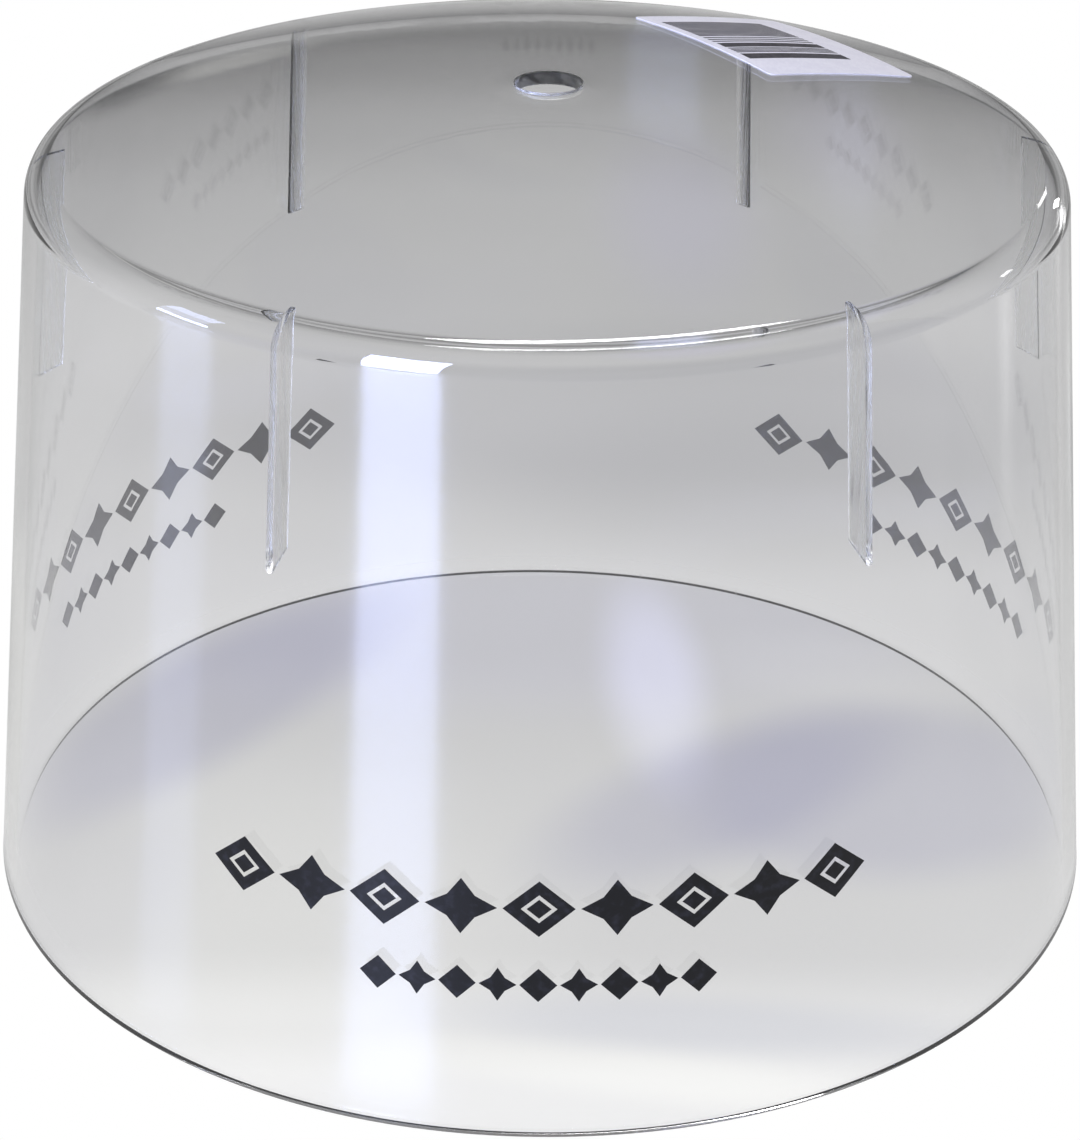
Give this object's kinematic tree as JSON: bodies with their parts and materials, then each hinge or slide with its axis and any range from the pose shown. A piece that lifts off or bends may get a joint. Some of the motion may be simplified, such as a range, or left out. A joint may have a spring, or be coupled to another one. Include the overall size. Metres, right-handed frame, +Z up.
{
  "type": "cheese cover",
  "caption": "Clear moulded plastic cover for a wheel of hard cheese: tapered round wall, shallow domed crown with a centre hole, thin ribs inside the shoulder, and a paper label.",
  "frame": {"origin": "centre of the circle that the open rim stands on", "axes": "+Z up along the cover's own axis, from the open rim to the crown; -Y towards the side the picture shows"},
  "size_m": [0.16, 0.16, 0.1142],
  "materials": {
    "clear_plastic": "clear, polished",
    "white_paper": "matte, printed with plain dark bars"
  },
  "bodies": {
    "root": {"cover": "clear_plastic", "label": "white_paper"}
  },
  "joints": []
}
